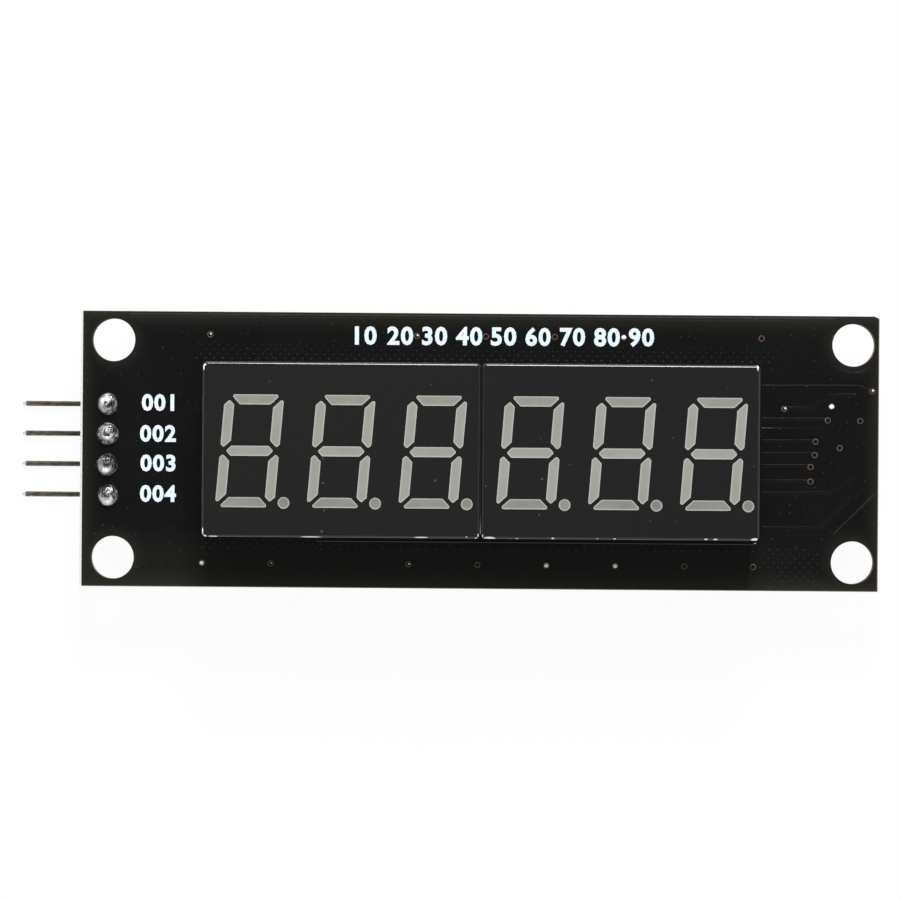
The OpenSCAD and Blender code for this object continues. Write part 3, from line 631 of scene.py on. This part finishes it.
strip = copied("header_strip")
rounded(strip, 0.08)
keep("header_nylon_strip", strip, [header_nylon], ["header_strip"])
PIN_DRAWN = 0.86                      # the pins are this share of their nominal square
pin_lifts = (0.01, 0.07, 0.08, 0.07)  # mm; how far up each sits in the photograph
for number, lift in enumerate(pin_lifts, 1):
    pin = copied(f"header_pin_{number}")
    middle = (min(v.co.y for v in pin.verts) + max(v.co.y for v in pin.verts)) / 2
    for v in pin.verts:
        v.co.y = middle + PIN_DRAWN * (v.co.y - middle) + lift * MM
    rounded(pin, 0.045, sharper_than=25)
    keep(f"header_bent_pin_{number}", pin, [pin_metal], [f"header_pin_{number}"])

# Each joint: its middle in the picture, its half widths in mm, how much flux film it keeps,
# the share of rings, the slope under its painted highlight, and where its highlight and where
# its shade are painted, each as a place and a size
joint_forms = [
    (108.0, 404.0, 0.84, 0.9, 0.6, 0.15, 0.0, (-0.3, 0.3, 0.34), (0.3, -0.05, 0.3)),
    (107.9, 433.9, 0.92, 0.92, 0.6, 0.3, 0.4, (-0.05, -0.22, 0.28), (0.55, 0.5, 0.4)),
    (107.0, 464.4, 0.89, 0.93, 0.85, 0.1, 0.5, (-0.06, -0.4, 0.42), (0.2, 0.6, 0.5)),
    (107.9, 495.0, 0.83, 0.88, 0.65, 0.18, 0.25, (0.0, -0.55, 0.5), (-0.3, 0.55, 0.5)),
]
DOME = 0.74  # mm; height of a joint over the board, without the pin's end in its middle
joints = bmesh.new()
for number, (px, py, wide, long, base, ring, slope, bare, dark) in enumerate(joint_forms):
    dome = bmesh.new()
    bmesh.ops.create_uvsphere(dome, u_segments=80, v_segments=56, radius=1)
    bmesh.ops.bisect_plane(dome, geom=dome.verts[:] + dome.edges[:] + dome.faces[:], plane_co=(0, 0, 0),
                           plane_no=(0, 0, -1), clear_outer=True)
    film_layer = dome.verts.layers.float.new("film")
    seed = Vector((3.1 * number, 1.7 * number, 0.9 * number))
    x, y = from_picture(px, py)
    for v in dome.verts:
        out, angle = math.hypot(v.co.x, v.co.y), math.atan2(v.co.y, v.co.x)
        lobes = noise.noise(Vector((1.4 * math.cos(angle), 1.4 * math.sin(angle), 0)) + seed)
        lumps = noise.noise(v.co * 2.2 + seed)
        folds = math.sin(16 * out + 2.2 * angle + 7 * noise.noise(v.co * 1.6 - seed))
        streaks = noise.noise(Vector((9 * out, 1.5 * angle, 3 * lumps)) + seed)
        # The bare spot is a painted highlight and the dark spot a painted shade, in the film's share
        painted_highlight, painted_shade = (math.exp(-((v.co.x - at_x) ** 2 + (v.co.y - at_y) ** 2) / size ** 2)
                              for at_x, at_y, size in (bare, dark))
        film = base + ring * folds + 0.4 * lumps + 0.5 * streaks - 1.4 * painted_highlight + 0.7 * painted_shade
        v[film_layer] = min(1, max(0, film))
        spread = 1 + 0.04 * lobes + 0.01 * folds * out
        tall = DOME * (1 + 0.08 * lumps + 0.025 * folds) + 0.17 * math.exp(-(out / 0.34) ** 2)
        # It froze flat under its painted highlight, and leans back there
        level = DOME * math.sqrt(1 - bare[0] ** 2 - bare[1] ** 2) - slope * (v.co.y - bare[1])
        rise = v.co.z * tall
        rise += 0.85 * painted_highlight * min(1, 3 * v.co.z) * (level - rise)
        v.co = Vector((x + v.co.x * wide * spread, y + v.co.y * long * spread, BOARD_TOP + rise)) * MM
    bmesh.ops.holes_fill(dome, edges=[e for e in dome.edges if e.is_boundary], sides=0)
    # The solder that fills the joint's hole in the board
    hole = (JOINT_X * MM, (FIRST_JOINT_Y - PIN_PITCH * number) * MM, BOARD_TOP / 2 * MM)
    bmesh.ops.create_cone(dome, cap_ends=True, segments=32, radius1=0.5 * MM, radius2=0.5 * MM,
                          depth=BOARD_TOP * MM, matrix=Matrix.Translation(hole))
    mesh = bpy.data.meshes.new("dome")
    dome.to_mesh(mesh)
    dome.free()
    joints.from_mesh(mesh)
keep("header_solder_domes", joints, [solder], ["header_solder_joints"], smooth_to=70)

# Displays: housing with its painted face, and the castings in its light wells

# All in mm. The real displays sit a little off their nominal places
LEFT_SHIFT = 0.083                 # the left display lies this far right
RIGHT_SHIFT = 0.115                # the digits of the right display lie this far right
SPREAD, TURN = 0.0024, 0.0057      # and more for each mm right of their middle, and for each mm down
DIGITS_MIDDLE = 11.2
SIDE_WALL, LOWER_WALL = 0.33, 0.7  # the right display's side walls stay, and lower walls lie lower
WALL_DROP, DOT_DROP = 0.15, 0.1    # how much lower the lower walls and the points lie
DOT_REACH = 0.8                    # from a point's middle to past its edge
LARGEST_DOT = 1.1                  # anything wider is a bar
RIM, DISH = 0.15, 0.012            # a casting's bright rim, and how far the resin sank inside it


def at_front(face):
    """Whether a face lies in the displays' front plane."""
    return face.normal.z > 0.999 and face.calc_center_median().z > (FACE_TOP - 0.01) * MM


def settle(bm, side, dots):
    """Moves a display's copy by the tenth of a millimetre that its place in the photograph is off."""
    low, high = (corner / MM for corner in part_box(f"{side}_display_housing"))
    for v in bm.verts:
        x, y = v.co.x / MM, v.co.y / MM
        if side == "left":
            v.co.x += LEFT_SHIFT * MM
        elif low.x + SIDE_WALL < x < high.x - SIDE_WALL:
            v.co.x += (RIGHT_SHIFT + SPREAD * (x - DIGITS_MIDDLE) - TURN * y) * MM
        if y < low.y + LOWER_WALL:
            v.co.y -= WALL_DROP * MM
        elif any(math.hypot(x - dot.x / MM, y - dot.y / MM) < DOT_REACH for dot in dots):
            v.co.y -= DOT_DROP * MM


for side in ("left", "right"):
    casting = copied(f"{side}_display_resin")
    flush = [f for f in casting.faces if at_front(f)]
    bmesh.ops.dissolve_faces(casting, faces=flush, use_verts=False)
    rim_layer = casting.verts.layers.float.new("rim")
    shade_layer = casting.verts.layers.float.new("shade")
    for v in casting.verts:
        v[rim_layer] = 1.0
    tops = [f for f in casting.faces if at_front(f)]
    dots = []
    for top in tops:
        wide, high = (max(v.co[i] for v in top.verts) - min(v.co[i] for v in top.verts) for i in (0, 1))
        middle = top.calc_center_median()
        shade = 0.0
        if max(wide, high) < LARGEST_DOT * MM:
            shade = 1.0
            dots.append(middle)
        elif wide > high and abs(middle.y) > 3 * MM:  # a level bar, other than the one in the middle
            shade = 0.45 if middle.y > 0 else 0.85
        for v in top.verts:
            v[shade_layer] = shade
    bmesh.ops.inset_individual(casting, faces=tops, thickness=RIM * MM, use_even_offset=True)
    inner = list(dict.fromkeys(v for top in tops for v in top.verts))
    for v in inner:
        v[rim_layer] = 0.0
        v.co.z = (FACE_TOP - DISH) * MM
    bmesh.ops.remove_doubles(casting, verts=inner, dist=0.08 * MM)
    settle(casting, side, dots)
    keep(f"{side}_bar_castings", casting, [bar_resin], [f"{side}_display_resin"], smooth_to=20,
         weighted=True)

    housing = copied(f"{side}_display_housing")
    for face in housing.faces:
        face.material_index = 1 if at_front(face) else 0
    settle(housing, side, dots)
    keep(f"{side}_housing_shell", housing, [housing_gloss, face_paint],
         [f"{side}_display_housing"], weighted=True)

# A strip in the gap between the housings stands for their dulled walls
left_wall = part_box("left_display_housing")[1].x / MM + LEFT_SHIFT
right_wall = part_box("right_display_housing")[0].x / MM
strip_middle = ((left_wall + right_wall) / 2 * MM, 0.1 * MM, 5.2 * MM)
strip_size = ((right_wall - left_wall + 0.02) * MM, 13.7 * MM, 6.4 * MM)
groove = bmesh.new()
bmesh.ops.create_cube(groove, size=1, matrix=Matrix.Translation(strip_middle)
                      @ Matrix.Diagonal((*strip_size, 1)))
keep("housing_groove_walls", groove, [groove_wall])

# Parts behind the board

chip = copied("driver_chip_body")
rounded(chip, 0.05, sharper_than=20)
keep("driver_chip_package", chip, [chip_epoxy], ["driver_chip_body"])
for node, finish, slot in (("pull_up_resistors", resistor_glaze, "resistor_body"),
                           ("filter_capacitors", capacitor_ceramic, "capacitor_body"),
                           ("bypass_capacitor", capacitor_ceramic, "capacitor_body"),
                           ("bulk_capacitor", capacitor_ceramic, "capacitor_body"),
                           ("end_caps", tinned_metal, "tinned_metal"),
                           ("driver_chip_leads", tinned_metal, "tinned_metal")):
    part = copied(node)
    rounded(part, 0.03, sharper_than=50)
    keep(f"{node}_finished", part, [finish], [node])

for node, finish in (("display_carrier", carrier_mask), ("display_light_chips", chip_crystal),
                     ("display_pins", tinned_metal), ("display_solder_joints", solder)):
    for side in ("left", "right"):
        refinish(f"{side}_{node}", finish)

# Floor, light and world

paper = bmesh.new()
bmesh.ops.create_grid(paper, x_segments=2, y_segments=2, size=4.0,
                      matrix=Matrix.Translation((0, 0, FLOOR * MM)))
paper_mesh = bpy.data.meshes.new("paper_floor")
paper.to_mesh(paper_mesh)
paper.free()
paper_mesh.materials.append(white_paper)
floor = bpy.data.objects.new("paper_floor", paper_mesh)
scene.collection.objects.link(floor)

# One softbox beyond the board's upper edge: it draws the bright line along the displays
softbox_data = bpy.data.lights.new("softbox", "AREA")
softbox_data.shape = "RECTANGLE"
softbox_data.size, softbox_data.size_y = 0.16, 0.24
softbox_data.energy = 4.2
softbox_data.color = (0.96, 0.985, 1.0)
softbox = bpy.data.objects.new("softbox", softbox_data)
softbox.location = (0.03, 0.46, 0.42)
softbox.rotation_euler = (Vector((0, 0, 0)) - softbox.location).to_track_quat("-Z", "Y").to_euler()
scene.collection.objects.link(softbox)

# The room: pale all round, less so at the two sides, and dim overhead, where the camera stands
world = bpy.data.worlds.new("pale_room")
world.use_nodes = True
scene.world = world
tree = world.node_tree
way = add(tree, "SeparateXYZ", {0: add(tree, "TexCoord").outputs["Generated"]})
room = add(tree, "MapRange", {"Value": way.outputs["Z"], "From Min": 0.8, "From Max": 0.93,
                              "To Min": 0.88, "To Max": 0.09}, interpolation_type="SMOOTHSTEP")
sideways = add(tree, "Math", {0: way.outputs["X"]}, operation="ABSOLUTE")
walls = add(tree, "MapRange", {"Value": sideways.outputs[0], "From Min": 0.4, "From Max": 1.0,
                               "To Min": 1.0, "To Max": 0.6})
lit = add(tree, "Math", {0: room.outputs[0], 1: walls.outputs[0]}, operation="MULTIPLY")
tree.nodes["Background"].inputs["Color"].default_value = (1, 1, 1, 1)
tree.links.new(lit.outputs[0], tree.nodes["Background"].inputs["Strength"])
